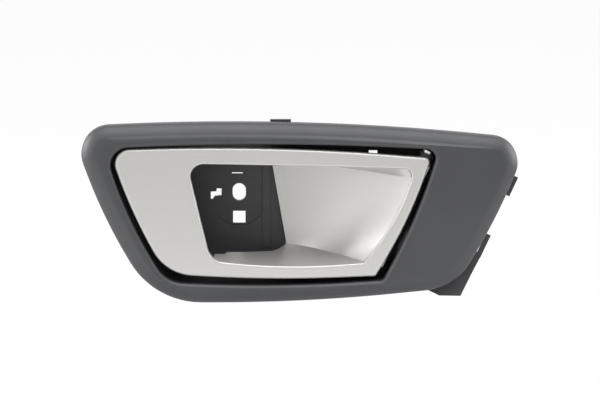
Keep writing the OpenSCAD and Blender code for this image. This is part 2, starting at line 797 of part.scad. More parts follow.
module floor_holes() {
    reach = slot_l / 2 - slot_w / 2;
    for (z = [-reach, reach]) rod_y(0, z, slot_w / 2, floor_y - cut, cut);
    block([-slot_w / 2, floor_y - cut, -reach], [slot_w / 2, cut, reach]);
    rod_y(0, -cap_drop, cap_r, floor_y - cut, floor_y + 0.5);
    block([-key_w / 2, floor_y - cut, key_z - key_w / 2], [key_w / 2, cut, key_z + key_w / 2]);
    for (v = floor_vents) block([v[0], floor_y - cut, v[1]], [v[2], cut, v[3]]);
    on_pin(crank_s) block([-crank_swing, pin_h + floor_y - cut, -crank_room], [5.5, pin_h + cut, crank_room]);
}

// A ledge under the square hole, a step behind the ramp's foot, and a peg in the wide vent
module floor_details() {
    ledge = key_z - key_w / 2;
    block([-key_w / 2, floor_y - 0.8, ledge - 2], [key_w / 2, floor_y + bite, ledge - 0.6]);
    block([step_x, floor_y - 0.6, -26], [step_x + 3.5, floor_y + bite, 16]);
    rod_y(peg_at[0], peg_at[1], peg_r, floor_y - 0.4, floor_back);
}

// Low ribs across the tray's back, between the pads
module back_ribs() {
    half = rib_t / 2;
    low = floor_back + back_rib_h;
    intersection() {
        union() {
            for (z = back_rib_z) block([-lever_left, floor_back - bite, z - half], [90, low, z + half]);
            for (x = back_rib_x) block([x - half, floor_back - bite, -40], [x + half, low, 30]);
        }
        plate(tray_outline, floor_y, 0);
    }
}

// Boss on the tray's floor that holds the spring's fixed end
module spring_boss() {
    on_pin(spring_top) translate([spring_r, pin_h + floor_y - spring_boss_h, 0]) rotate([-90, 0, 0])
        difference() {
            cylinder(r = spring_wire / 2 + 1.4, h = spring_boss_h + bite);
            translate([0, 0, -cut]) cylinder(r = spring_wire / 2 + 0.2, h = spring_boss_h + cut - 0.4);
        }
}

module housing() {
    color("black") difference() {
        union() {
            difference() {
                union() {
                    tray();
                    flange();
                    rod_y(0, 0, seat_r, floor_back - bite, 0);
                    back_ribs();
                }
                floor_holes();
            }
            hinge_lugs();
            stop_posts();
            stop_cheeks();
            floor_details();
            spring_boss();
            cable_bracket();
            side_tabs();
            clip_towers();
        }
        on_pin() {
            translate([0, 0, pin_bottom - cut]) cylinder(r = pin_r, h = pin_top - pin_bottom + 2 * cut);
            translate([0, 0, pin_top]) cylinder(r = pin_head_r + 0.5, h = 20);
            translate([0, 0, pin_bottom - pin_tail - 0.5]) cylinder(r = retainer_r + 0.3, h = pin_tail + 0.5);
            translate([0, crank_l, 0]) rotate([0, 90, 0]) translate([-crank_s, 0, bracket_x - cut])
                cylinder(r = sheath_r + clip_wall, h = bracket_t + 2 * cut);
        }
        on_pin(crank_s) translate([open_at[0], open_at[1], -crank_room - cheek_t - cut])
            cylinder(r = open_r, h = 2 * (crank_room + cheek_t + cut));
        for (p = stop_places) rod_y(p[0], p[1], stem_r, bezel_y, floor_y);
        for (s = screw_spots) let (p = screw_at(s)) {
            rod_y(p[0], p[1], screw_r + 0.3, flange_y - cut, rim_y + cut);
            rod_y(p[0], p[1], screw_head_r + 0.2, rim_y, rim_y + screw_head_h + 0.3);
        }
    }
}

module hinge_pin() {
    color("lightsteelblue") on_pin() rotate_extrude() polygon([
        [0, pin_bottom - pin_tail], [pin_r, pin_bottom - pin_tail], [pin_r, pin_bottom - clip_t],
        [groove_r, pin_bottom - clip_t], [groove_r, pin_bottom], [pin_r, pin_bottom],
        [pin_r, pin_top], [pin_head_r, pin_top], [pin_head_r, pin_top + pin_head_h],
        [0, pin_top + pin_head_h]
    ]);
}

module pin_clip() {
    color("gray") on_pin(pin_bottom - clip_t) difference() {
        cylinder(r = retainer_r, h = clip_t);
        translate([0, 0, -cut]) cylinder(r = groove_r, h = clip_t + 2 * cut);
        block([-groove_r * 0.9, 0, -cut], [groove_r * 0.9, retainer_r + cut, clip_t + cut]);
    }
}

// A flanged bush: its flange at 0 and its sleeve above
module bush() {
    difference() {
        union() {
            cylinder(r = seat_bore, h = knuckle_l);
            translate([0, 0, -flange_l]) cylinder(r = seat_bore + 1, h = flange_l);
        }
        translate([0, 0, -flange_l - cut]) cylinder(r = bush_r, h = knuckle_l + flange_l + 2 * cut);
    }
}

module upper_bush() {
    color("ivory") on_pin(upper_end) mirror([0, 0, 1]) bush();
}

module lower_bush() {
    color("ivory") on_pin(lower_end) bush();
}

// A wire swept along points, with its frames square to the pin
module wire(path, r) {
    n = len(path);
    function way(i) = unit(path[min(i + 1, n - 1)] - path[max(i - 1, 0)]);
    points = [for (i = [0 : n - 1]) let (
        t = way(i),
        side = unit(cross(t, [0, 0, 1])),
        up = cross(side, t)
    ) each [for (a = [0 : 45 : 315]) path[i] + r * (cos(a) * side + sin(a) * up)]];
    polyhedron(
        points = points,
        faces = concat(
            [[for (k = [7 : -1 : 0]) k]],
            [[for (k = [0 : 7]) 8 * (n - 1) + k]],
            [for (i = [0 : n - 2], k = [0 : 7]) let (
                a = 8 * i + k,
                b = 8 * i + (k + 1) % 8
            ) each [[a, b, b + 8], [a, b + 8, a + 8]]]
        ),
        convexity = 10
    );
}

// Torsion spring: one end lies against the crank's post, the other stands in the boss on the floor
module return_spring() {
    coil = [for (k = [0 : spring_steps * (spring_turns + 0.5)]) let (a = 360 * k / spring_steps - 90)
        [spring_r * sin(a), -spring_r * cos(a), spring_low + spring_pitch * k / spring_steps]];
    color("gainsboro") on_pin() wire(concat(
        [[-spring_r, post_y + 2 * post_r, spring_low], [-spring_r, 3, spring_low]],
        coil,
        [[spring_r, 3, spring_top], [spring_r, pin_h + floor_y - spring_boss_h + 2, spring_top]]
    ), spring_wire / 2);
}

module bump_stop(p) {
    tip = lever_back + stop_gap;
    color("dimgray") translate([p[0], tip, p[1]]) rotate([-90, 0, 0]) {
        rotate_extrude() polygon([
            [0, 0], [stop_r * 0.5, 0.3], [stop_r * 0.85, 1.2], [stop_r, 2.6], [stop_r, stop_l],
            [stem_r, stop_l], [stem_r, stop_l + 6], [0, stop_l + 6]
        ]);
    }
}

module open_stop() {
    color("dimgray") on_pin(crank_s) translate([open_at[0], open_at[1], -crank_room - cheek_t])
        cylinder(r = open_r, h = 2 * (crank_room + cheek_t));
}

module bezel_screw(s) {
    p = screw_at(s);
    color("slategray") difference() {
        union() {
            rod_y(p[0], p[1], screw_r, flange_y - screw_grip + 0.5, rim_y);
            rod_y(p[0], p[1], screw_head_r, rim_y, rim_y + screw_head_h);
        }
        for (turn = [0, 90]) translate([p[0], rim_y + 1, p[1]]) rotate([0, turn, 0])
            block([-1.8, 0, -0.4], [1.8, cut, 0.4]);
    }
}

module trim_clip(s) {
    leg = tower_h - 0.5;
    color("lightslategray") on_rim(s, s[2]) translate([0, 0, -clip_w / 2]) linear_extrude(clip_w) {
        translate([-tower_t / 2 - clip_t, tower_h]) square([tower_t + 2 * clip_t, clip_t]);
        for (side = [0, 1]) mirror([side, 0]) {
            translate([tower_t / 2, tower_h - leg]) square([clip_t, leg + bite]);
            translate([tower_t / 2, tower_h]) rotate(barb_angle)
                translate([0, -barb_l]) square([clip_t, barb_l]);
        }
    }
}

module cable_clip() {
    color("ivory") on_pin() translate([0, crank_l, crank_s]) rotate([0, 90, 0]) difference() {
        union() {
            translate([0, 0, bracket_x - 3]) cylinder(r = sheath_r + clip_wall, h = bracket_t + 6);
            translate([0, 0, bracket_x - 2]) cylinder(r = sheath_r + clip_wall + 1.2, h = 2);
            translate([0, 0, bracket_x + bracket_t]) cylinder(r = sheath_r + clip_wall + 0.5, h = 1);
        }
        translate([0, 0, bracket_x - 3 - cut]) cylinder(r = sheath_r, h = bracket_t + 6 + 2 * cut);
    }
}

module rattle_pad(place) {
    half = pad_size / 2;
    color("darkslategray") block(
        [place[0] - half[0], floor_back, place[1] - half[1]],
        [place[0] + half[0], -0.3, place[1] + half[1]]
    );
}

housing();
bezel();
lever();
hinge_pin();
pin_clip();
upper_bush();
lower_bush();
return_spring();
bump_stop(stop_places[0]);  // bump_stop_upper
bump_stop(stop_places[1]);  // bump_stop_lower
open_stop();
bezel_screw(screw_spots[0]);  // bezel_screw_left
bezel_screw(screw_spots[1]);  // bezel_screw_upper
bezel_screw(screw_spots[2]);  // bezel_screw_lower
trim_clip(clip_spots[0]);  // trim_clip_left
trim_clip(clip_spots[1]);  // trim_clip_top
trim_clip(clip_spots[2]);  // trim_clip_right
trim_clip(clip_spots[3]);  // trim_clip_bottom
cable_clip();
rattle_pad(pad_places[0]);  // rattle_pad_left
rattle_pad(pad_places[1]);  // rattle_pad_right
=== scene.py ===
import json
import math
import bpy
import bmesh
from mathutils import Matrix, Vector


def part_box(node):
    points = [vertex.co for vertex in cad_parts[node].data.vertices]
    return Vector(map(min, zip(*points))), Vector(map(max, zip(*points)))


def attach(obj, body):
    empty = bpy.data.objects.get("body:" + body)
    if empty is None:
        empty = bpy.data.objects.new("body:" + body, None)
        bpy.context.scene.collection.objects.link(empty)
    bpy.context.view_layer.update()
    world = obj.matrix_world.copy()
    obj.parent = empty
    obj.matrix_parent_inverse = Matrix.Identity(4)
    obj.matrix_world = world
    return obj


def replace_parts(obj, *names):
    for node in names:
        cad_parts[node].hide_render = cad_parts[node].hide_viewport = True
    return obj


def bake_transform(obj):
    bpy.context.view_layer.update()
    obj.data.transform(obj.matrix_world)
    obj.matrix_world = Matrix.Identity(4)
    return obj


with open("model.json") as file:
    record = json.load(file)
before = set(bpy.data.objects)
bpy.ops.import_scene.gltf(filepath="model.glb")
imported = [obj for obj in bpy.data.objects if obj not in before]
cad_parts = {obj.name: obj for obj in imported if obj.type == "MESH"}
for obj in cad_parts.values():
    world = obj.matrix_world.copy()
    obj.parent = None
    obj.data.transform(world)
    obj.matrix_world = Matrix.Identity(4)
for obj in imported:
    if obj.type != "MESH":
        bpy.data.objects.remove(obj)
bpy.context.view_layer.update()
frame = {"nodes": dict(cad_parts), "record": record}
scene = bpy.context.scene
mm = 0.001

# Places along Y in millimetres: the rear seat is at 0, the front is negative
bezelFace = -33.0
leverFace = -32.0
rimBack = -22.0

# The hinge pin runs along the lever's right edge and leans with it
edgeLean = 24.8  # degrees from upright
pinLean = math.radians(edgeLean)
pinPoint = Vector((77.214, -25.6, 0))
pinDir = Vector((math.sin(pinLean), 0, math.cos(pinLean)))
pinSide = Vector((math.cos(pinLean), 0, -math.sin(pinLean)))


# Helpers for outlines in XZ, with four corners and four bowed sides

arcSteps = 12  # segments round each corner
leastRadius = 0.3  # no inset makes a corner sharper
bendShare = 0.9  # share of a bowed side that is bent


def unit(v):
    return v / v.length


def turned(v):
    return Vector((-v.y, v.x))


def mixed(a, b, t):
    return a + (b - a) * t


def slopeX(height, degrees):
    return height * math.tan(math.radians(degrees))


def halfAngle(a, b, c):
    return math.acos(max(-1, min(1, unit(a - b).dot(unit(c - b))))) / 2


def cornerArc(a, b, c, radius, steps):
    u, v, half = unit(a - b), unit(c - b), halfAngle(a, b, c)
    centre = b + unit(u + v) * (radius / math.sin(half))
    p = b + u * (radius / math.tan(half)) - centre
    q = b + v * (radius / math.tan(half)) - centre
    start = math.atan2(p.y, p.x)
    turn = (math.atan2(q.y, q.x) - start + 3 * math.pi) % (2 * math.pi) - math.pi
    angles = [start + turn * i / steps for i in range(steps + 1)]
    return [centre + radius * Vector((math.cos(t), math.sin(t))) for t in angles]


def bowedCorners(spots, radii, bows):
    # clockwise from the top left, each side bowed outwards at its middle
    middles = []
    for i in range(4):
        p, q = spots[i], spots[(i + 1) % 4]
        middles.append((p + q) / 2 + bows[i] * turned(unit(q - p)))
    reach = [radii[i] / math.tan(halfAngle(middles[i - 1], spots[i], middles[i])) for i in range(4)]
    made = []
    for i in range(4):
        p, q, m = spots[i], spots[(i + 1) % 4], middles[i]
        length = bendShare * min((m - p).length - reach[i], (m - q).length - reach[(i + 1) % 4])
        made.append((p, radii[i]))
        made.append((m, length * math.tan(halfAngle(p, m, q))))
    return made


def outlinePoints(outline, inset=0.0):
    moved = []
    for i in range(8):
        a, b, c = outline[i - 1][0], outline[i][0], outline[(i + 1) % 8][0]
        n1, n2 = turned(unit(b - a)), turned(unit(c - b))
        moved.append((b - inset * (n1 + n2) / (1 + n1.dot(n2)), max(outline[i][1] - inset, leastRadius)))
    points = []
    for i in range(8):
        points += cornerArc(moved[i - 1][0], moved[i][0], moved[(i + 1) % 8][0], moved[i][1], arcSteps)
    return points


def spot(corner, step):
    # where a corner's point stands in the list of outlinePoints
    return corner * (arcSteps + 1) + step


def atDepth(points, y):
    return [Vector((p.x, y, p.y)) for p in points]


def quarterTurn(steps):
    # how far across and how far down a rolled edge is, both as shares of its radius
    turns = [math.pi / 2 * i / steps for i in range(steps + 1)]
    return [(1 - math.cos(turn), 1 - math.sin(turn)) for turn in turns]


# Mesh helpers, in millimetres

poleGap = 0.02  # a spun profile stays this far from its axis
joinGap = 0.0005  # points nearer than this are one


def firstRow(bm, points, closed=True):
    verts = [bm.verts.new(p) for p in points]
    for a, b in zip(verts, verts[1:] + (verts[:1] if closed else [])):
        bm.edges.new((a, b))
    return verts


def pullRow(bm, verts, points, closed=True):
    pairs = zip(verts, verts[1:] + (verts[:1] if closed else []))
    edges = [bm.edges.get(pair) for pair in pairs]
    made = bmesh.ops.extrude_edge_only(bm, edges=edges)["geom"]
    fresh = {v for v in made if isinstance(v, bmesh.types.BMVert)}
    row = []
    for v, p in zip(verts, points):
        new = next(e.other_vert(v) for e in v.link_edges if e.other_vert(v) in fresh)
        new.co = p
        row.append(new)
    return row


def pulledRows(bm, rows, closed=True, joined=False):
    # each row of points is pulled out of the one before; joined brings the last back to the first
    verts = firstRow(bm, rows[0], closed)
    for points in rows[1:] + ([rows[0]] if joined else []):
        verts = pullRow(bm, verts, points, closed)
    if joined:
        bmesh.ops.remove_doubles(bm, verts=bm.verts, dist=joinGap)


def turnedRing(bm, profile, place, segments=48):
    # a closed profile of (radius, height) spun about Z, then put in place
    verts = [bm.verts.new((r, 0, h)) for r, h in profile]
    edges = [bm.edges.new(pair) for pair in zip(verts, verts[1:] + verts[:1])]
    before = set(bm.verts) - set(verts)
    bmesh.ops.spin(bm, geom=verts + edges, cent=(0, 0, 0), axis=(0, 0, 1), angle=2 * math.pi,
                   steps=segments, use_merge=True)
    bmesh.ops.transform(bm, matrix=place, verts=[v for v in bm.verts if v not in before])


def slab(bm, points, depth, place, rounding=0.0):
    # a flat outline in XY, made thick along Z, softened along its rims, then put in place
    verts = [bm.verts.new((x, y, 0)) for x, y in points]
    before = set(bm.verts) - set(verts)
    face = bm.faces.new(verts)
    pulled = bmesh.ops.extrude_face_region(bm, geom=[face], use_keep_orig=True)["geom"]
    top = [v for v in pulled if isinstance(v, bmesh.types.BMVert)]
    bmesh.ops.translate(bm, verts=top, vec=(0, 0, depth))
    if rounding:
        edges = {e for v in verts + top for e in v.link_edges}
        rims = [e for e in edges if abs(e.verts[0].co.z - e.verts[1].co.z) < 1e-6]  # level edges only
        bmesh.ops.bevel(bm, geom=rims, offset=rounding, offset_type="OFFSET", segments=2, profile=0.5,
                        affect="EDGES", clamp_overlap=True, material=-1)
    bmesh.ops.transform(bm, matrix=place, verts=[v for v in bm.verts if v not in before])


def onPin(s=0.0):
    # Z runs along the pin, X square to it, Y into the door
    place = Matrix.Rotation(pinLean, 4, "Y")
    place.translation = pinPoint + s * pinDir
    return place


def alongY(x, z, y):
    # Z of what is placed runs into the door
    place = Matrix.Rotation(-math.pi / 2, 4, "X")
    place.translation = Vector((x, y, z))
    return place


def middleOf(node):
    low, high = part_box(node)
    return [(a + b) / 2 / mm for a, b in zip(low, high)]


def piece(name, bm, body, slotName, sharp=35):
    bmesh.ops.recalc_face_normals(bm, faces=bm.faces)
    bmesh.ops.scale(bm, vec=(mm, mm, mm), verts=bm.verts)
    for f in bm.faces:
        f.smooth = True
    for e in bm.edges:
        e.smooth = e.is_manifold and e.calc_face_angle(0) < math.radians(sharp)
    mesh = bpy.data.meshes.new(name)
    bm.to_mesh(mesh)
    bm.free()
    obj = bpy.data.objects.new(name, mesh)
    scene.collection.objects.link(obj)
    mesh.materials.append(finishes[slotName])
    if body:  # a blended piece rides on no body of its own
        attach(obj, body)
    return obj


# Materials, on Object coordinates: noise scales are per metre, bump distances in metres

def shaderOf(mat):
    return mat.node_tree.nodes["Principled BSDF"]


def newMaterial(name, color, metallic, roughness):
    mat = bpy.data.materials.new(name)
    mat.use_nodes = True
    shader = shaderOf(mat)
    shader.inputs["Base Color"].default_value = (*color, 1)
    shader.inputs["Metallic"].default_value = metallic
    shader.inputs["Roughness"].default_value = roughness
    return mat


def noiseOn(mat, scale, detail, stretch=(1, 1, 1)):
    nodes, links = mat.node_tree.nodes, mat.node_tree.links
    coords = nodes.new("ShaderNodeTexCoord")
    mapping = nodes.new("ShaderNodeMapping")
    mapping.inputs["Scale"].default_value = stretch
    noise = nodes.new("ShaderNodeTexNoise")
    noise.inputs["Scale"].default_value = scale
    noise.inputs["Detail"].default_value = detail
    links.new(coords.outputs["Object"], mapping.inputs["Vector"])
    links.new(mapping.outputs["Vector"], noise.inputs["Vector"])
    return noise


def varyColor(mat, noise, dark, light):
    nodes, links = mat.node_tree.nodes, mat.node_tree.links
    ramp = nodes.new("ShaderNodeValToRGB")
    for stop, position, color in zip(ramp.color_ramp.elements, (0.3, 0.7), (dark, light)):
        stop.position = position
        stop.color = (*color, 1)
    links.new(noise.outputs["Fac"], ramp.inputs["Fac"])
    links.new(ramp.outputs["Color"], shaderOf(mat).inputs["Base Color"])


def varyRoughness(mat, noise, low, high):
    nodes, links = mat.node_tree.nodes, mat.node_tree.links
    span = nodes.new("ShaderNodeMapRange")
    span.inputs["To Min"].default_value = low
    span.inputs["To Max"].default_value = high
    links.new(noise.outputs["Fac"], span.inputs["Value"])
    links.new(span.outputs["Result"], shaderOf(mat).inputs["Roughness"])


def addBump(mat, noise, strength, distance):
    nodes, links = mat.node_tree.nodes, mat.node_tree.links
    bump = nodes.new("ShaderNodeBump")
    bump.inputs["Strength"].default_value = strength
    bump.inputs["Distance"].default_value = distance
    links.new(noise.outputs["Fac"], bump.inputs["Height"])
    links.new(bump.outputs["Normal"], shaderOf(mat).inputs["Normal"])


def silverPaint():
    # satin silver with a fine flake under a thin clear coat
    mat = newMaterial("silverPaint", color=(0.43, 0.424, 0.41), metallic=0.5, roughness=0.36)
    flake = noiseOn(mat, scale=5200, detail=1.0)
    cloud = noiseOn(mat, scale=60, detail=3.0)
    varyColor(mat, flake, dark=(0.4, 0.395, 0.38), light=(0.46, 0.454, 0.44))
    varyRoughness(mat, cloud, low=0.33, high=0.41)
    shaderOf(mat).inputs["Coat Weight"].default_value = 0.25
    shaderOf(mat).inputs["Coat Roughness"].default_value = 0.22
    addBump(mat, flake, strength=0.06, distance=0.00003)
    return mat


def bezelPlastic():
    # dark grey moulded plastic with a fine grain
    mat = newMaterial("bezelPlastic", color=(0.032, 0.033, 0.037), metallic=0.0, roughness=0.48)
    grain = noiseOn(mat, scale=2600, detail=3.0)
    cloud = noiseOn(mat, scale=45, detail=2.0)
    varyColor(mat, cloud, dark=(0.029, 0.03, 0.034), light=(0.035, 0.036, 0.04))
    varyRoughness(mat, grain, low=0.43, high=0.55)
    addBump(mat, grain, strength=0.22, distance=0.00005)
    return mat


def housingPlastic():
    # black glass-filled plastic, matt, with faint flow marks
    mat = newMaterial("housingPlastic", color=(0.026, 0.025, 0.028), metallic=0.0, roughness=0.55)
    grain = noiseOn(mat, scale=1800, detail=3.0)
    flow = noiseOn(mat, scale=30, detail=3.0, stretch=(1, 1, 4))
    varyColor(mat, flow, dark=(0.023, 0.022, 0.025), light=(0.03, 0.029, 0.032))
    varyRoughness(mat, grain, low=0.48, high=0.64)
    addBump(mat, grain, strength=0.2, distance=0.00005)
    return mat


def platedSteel():
    # bright zinc with a brushed roughness
    mat = newMaterial("platedSteel", color=(0.62, 0.62, 0.6), metallic=1.0, roughness=0.3)
    brushed = noiseOn(mat, scale=900, detail=3.0, stretch=(1, 1, 0.15))
    varyRoughness(mat, brushed, low=0.22, high=0.42)
    addBump(mat, brushed, strength=0.1, distance=0.00003)
    return mat


def springSteel():
    # dark oiled wire
    mat = newMaterial("springSteel", color=(0.22, 0.22, 0.24), metallic=1.0, roughness=0.36)
    oxide = noiseOn(mat, scale=350, detail=4.0)
    varyColor(mat, oxide, dark=(0.17, 0.17, 0.19), light=(0.27, 0.27, 0.285))
    varyRoughness(mat, oxide, low=0.3, high=0.5)
    return mat


def naturalPlastic():
    # undyed, slightly waxy bushes and clips
    mat = newMaterial("naturalPlastic", color=(0.72, 0.69, 0.6), metallic=0.0, roughness=0.42)
    cloud = noiseOn(mat, scale=250, detail=3.0)
    varyColor(mat, cloud, dark=(0.69, 0.655, 0.565), light=(0.75, 0.72, 0.635))
    varyRoughness(mat, cloud, low=0.38, high=0.5)
    return mat


def softRubber():
    # black rubber with a little dust
    mat = newMaterial("softRubber", color=(0.02, 0.02, 0.021), metallic=0.0, roughness=0.72)
    dust = noiseOn(mat, scale=700, detail=4.0)
    varyColor(mat, dust, dark=(0.016, 0.016, 0.017), light=(0.03, 0.03, 0.03))
    addBump(mat, dust, strength=0.25, distance=0.00006)
    return mat


def greyFelt():
    # matted fibres lying along one way
    mat = newMaterial("greyFelt", color=(0.1, 0.1, 0.105), metallic=0.0, roughness=0.95)
    fibre = noiseOn(mat, scale=1600, detail=6.0, stretch=(1, 1, 0.35))
    varyColor(mat, fibre, dark=(0.05, 0.05, 0.055), light=(0.17, 0.17, 0.175))
    addBump(mat, fibre, strength=0.7, distance=0.0002)
    shaderOf(mat).inputs["Sheen Weight"].default_value = 0.35
    return mat


finishes = {
    "silver_paint": silverPaint(),
    "bezel_grey": bezelPlastic(),
    "housing_black": housingPlastic(),
    "steel": platedSteel(),
    "spring_steel": springSteel(),
    "natural_plastic": naturalPlastic(),
    "rubber_black": softRubber(),
    "felt_grey": greyFelt(),
}
print("materials made")


# Camera, world, floor and lamps

# Millimetres and degrees; width is what the picture spans at the middle
view = {
    "middle": Vector((28.4, -33, 0.9)), "elevation": 9.0, "away": 2500.0, "width": 277.2, "sensor": 36,
    "clipEnd": 20000,
}


def makeCamera():
    tilt = math.radians(view["elevation"])
    back = Vector((0, -math.cos(tilt), math.sin(tilt)))
    camera = bpy.data.cameras.new("camera")
    camera.sensor_width = view["sensor"]
    camera.lens = view["sensor"] * view["away"] / view["width"]
    camera.clip_end = view["clipEnd"] * mm
    holder = bpy.data.objects.new("camera", camera)
    holder.location = (view["middle"] + back * view["away"]) * mm
    holder.rotation_euler = back.to_track_quat("Z", "Y").to_euler()
    scene.collection.objects.link(holder)
    scene.camera = holder


def whiteToCamera(nodes, links, glow, shaded, output, share):
    # the lens, gloss and glass see this share of plain white, everything else the shaded surface
    path = nodes.new("ShaderNodeLightPath")
    seen = path.outputs["Is Camera Ray"]
    for ray in ("Is Glossy Ray", "Is Transmission Ray"):
        either = nodes.new("ShaderNodeMath")
        either.operation = "MAXIMUM"
        links.new(seen, either.inputs[0])
        links.new(path.outputs[ray], either.inputs[1])
        seen = either.outputs[0]
    part = nodes.new("ShaderNodeMath")
    part.operation = "MULTIPLY"
    part.inputs[1].default_value = share
    links.new(seen, part.inputs[0])
    glow.inputs["Color"].default_value = (1, 1, 1, 1)
    blend = nodes.new("ShaderNodeMixShader")
    links.new(part.outputs[0], blend.inputs["Fac"])
    links.new(shaded.outputs[0], blend.inputs[1])
    links.new(glow.outputs[0], blend.inputs[2])
    links.new(blend.outputs[0], output.inputs["Surface"])


worldStrength = 0.3


def makeWorld():
    world = bpy.data.worlds.new("studio")
    scene.world = world
    world.use_nodes = True
    nodes, links = world.node_tree.nodes, world.node_tree.links
    soft = nodes["Background"]
    soft.inputs["Color"].default_value = (1, 1, 1, 1)
    soft.inputs["Strength"].default_value = worldStrength
    whiteToCamera(nodes, links, nodes.new("ShaderNodeBackground"), soft, nodes["World Output"], share=1.0)


# In metres; white is the share of plain white that the camera sees, the rest keeps a soft shadow
ground = {"half": 3, "middle": 0.028, "height": -0.085, "color": (0.7, 0.7, 0.7), "rough": 0.8, "white": 0.95}


def makeFloor():
    bm = bmesh.new()
    bmesh.ops.create_grid(bm, x_segments=1, y_segments=1, size=ground["half"])
    bmesh.ops.translate(bm, verts=bm.verts, vec=(ground["middle"], 0, ground["height"]))
    mesh = bpy.data.meshes.new("floor")
    bm.to_mesh(mesh)
    bm.free()
    floor = bpy.data.objects.new("floor", mesh)
    scene.collection.objects.link(floor)
    mat = newMaterial("paleFloor", ground["color"], metallic=0.0, roughness=ground["rough"])
    mesh.materials.append(mat)
    nodes, links = mat.node_tree.nodes, mat.node_tree.links
    glow, output = nodes.new("ShaderNodeEmission"), nodes["Material Output"]
    whiteToCamera(nodes, links, glow, shaderOf(mat), output, share=ground["white"])


# In metres and watts; a lamp without a target faces the handle
handleMiddle = (0.028, -0.02, 0)
lamps = {
    "keyBox": {"place": (0.03, -0.65, 0.85), "size": (0.9, 0.35), "power": 4},
    "topBox": {"place": (0.03, -0.22, 1.0), "size": (1.0, 0.4), "power": 7.5},
    "frontLow": {"place": (0.03, -0.16, -0.083), "size": (1.0, 0.2), "power": 0.5,
                 "target": (0.03, -0.16, 1)},
    "leftBox": {"place": (-1.0, 0.05, 0.18), "size": (0.5, 0.8), "power": 16},
    "rightBox": {"place": (1.06, 0.08, 0.3), "size": (0.7, 0.9), "power": 14},
    "rampBox": {"place": (-0.75, -0.75, 0.15), "size": (0.5, 0.5), "power": 1.3},
    "backBox": {"place": (0.1, 1.8, 1.2), "size": (1.0, 0.7), "power": 2.5},
}


def makeLamp(name, lamp):
    light = bpy.data.lights.new(name, "AREA")
    light.shape = "RECTANGLE"
    light.size, light.size_y = lamp["size"]
    light.energy = lamp["power"]
    holder = bpy.data.objects.new(name, light)
    holder.location = lamp["place"]
    back = Vector(lamp["place"]) - Vector(lamp.get("target", handleMiddle))
    holder.rotation_euler = back.to_track_quat("Z", "Y").to_euler()
    holder.visible_camera = False
    scene.collection.objects.link(holder)


makeCamera()
makeWorld()
makeFloor()
for name, lamp in lamps.items():
    makeLamp(name, lamp)
scene.view_settings.view_transform = "Standard"
print("camera, floor and lamps made")


# Lever: a painted moulding with a face ring, a finger bowl, ribs, knuckles and a crank

lever = {
    "left": 60.0, "top": 24.0, "width": 149.0, "height": 58.2, "leanLeft": 24.2, "leanRight": edgeLean,
    "topFall": 3.7, "bottomFall": 0.9, "corners": (7, 2.2, 1.2, 21.8), "bows": (4.2, 3.4, 2.5, 2.4),
    "wall": 2.2, "edgeRadius": 1.0, "edgeRoll": 1.3,  # rolled round the window and round the outside
    "flatOuter": 0.3, "flatInner": 0.35,  # where the flat face begins inside both
    "crown": 0.7, "crownPast": 3,  # its height, and how far past the edges it runs out
    "skirt": 2.6, "skirtWall": 1.6, "skirtEase": 0.15, "edgeSteps": 6, "faceSteps": 8,
}
window = {
    "gripWidth": 36.2, "gripLean": 13.4, "stripTop": 6.5, "stripBottom": 6.4, "stripRight": 7.8,
    "topTaper": 1.3, "rightTaper": 2.3, "corners": (5.9, 3.5, 1.2, 8), "bows": (0.4, 4.4, 3.3, 0.1),
    "lipDepth": 5.0, "lipWall": 1.4, "lipEnd": 12, "lipPast": 1,  # the lip ends left of the foot
}
leverTL = Vector((-lever["left"], lever["top"]))
leverTR = leverTL + Vector((lever["width"], -lever["topFall"]))
leverBL = leverTL + Vector((slopeX(lever["height"], lever["leanLeft"]), -lever["height"]))
rightHeight = lever["height"] - lever["topFall"] + lever["bottomFall"]
leverBR = leverTR - Vector((slopeX(rightHeight, lever["leanRight"]), rightHeight))
leverOutline = bowedCorners([leverTL, leverTR, leverBR, leverBL], lever["corners"], lever["bows"])

windowTL = leverTL + Vector((window["gripWidth"], -window["stripTop"]))
windowTR = leverTR - Vector((window["stripRight"], window["stripTop"] - window["topTaper"]))
windowBR = leverBR + Vector((window["rightTaper"] - window["stripRight"], window["stripBottom"]))
windowHeight = windowTL.y - leverBL.y - window["stripBottom"]
windowBL = windowTL + Vector((slopeX(windowHeight, window["gripLean"]), -windowHeight))
windowOutline = bowedCorners([windowTL, windowTR, windowBR, windowBL], window["corners"], window["bows"])

bowl = {
    "rampDepth": 24.0, "rampBend": 1.6, "rampWall": 2.0, "footX": 17.9, "footLean": 10.0, "footSlope": 1.75,
    "topDraft": 0.8, "bottomDraft": 15.5, "shelfDepth": 10.7, "shelfRise": 0.22, "shelfInset": 7,
    "cornerDepth": 8.6, "cornerReach": 5.3, "foldRadius": 0.7, "foldSegments": 5, "foldAngle": 28,
    "weld": 0.02, "speck": 0.001,  # nearer points are merged, smaller edges dissolved
    "rampColumns": 18, "columnEase": 1.25, "wallRows": 5,
    "stations": (0.04, 0.1, 0.2, 0.3, 0.4, 0.5, 0.6, 0.7, 0.8, 0.83, 0.86, 0.92, 1.0),
}
shelfLeft = windowBL.x + bowl["shelfInset"]
topWallEnd = bowl["footX"] - window["lipEnd"]
bowlFace = leverFace + lever["edgeRadius"]


def crowned(points):
    # the face is a little higher in the middle than along its top and bottom edges
    middle = lever["top"] - lever["height"] / 2
    half = lever["height"] / 2 + lever["crownPast"]
    return [Vector((p.x, p.y - lever["crown"] * (1 - ((p.z - middle) / half) ** 2), p.z)) for p in points]


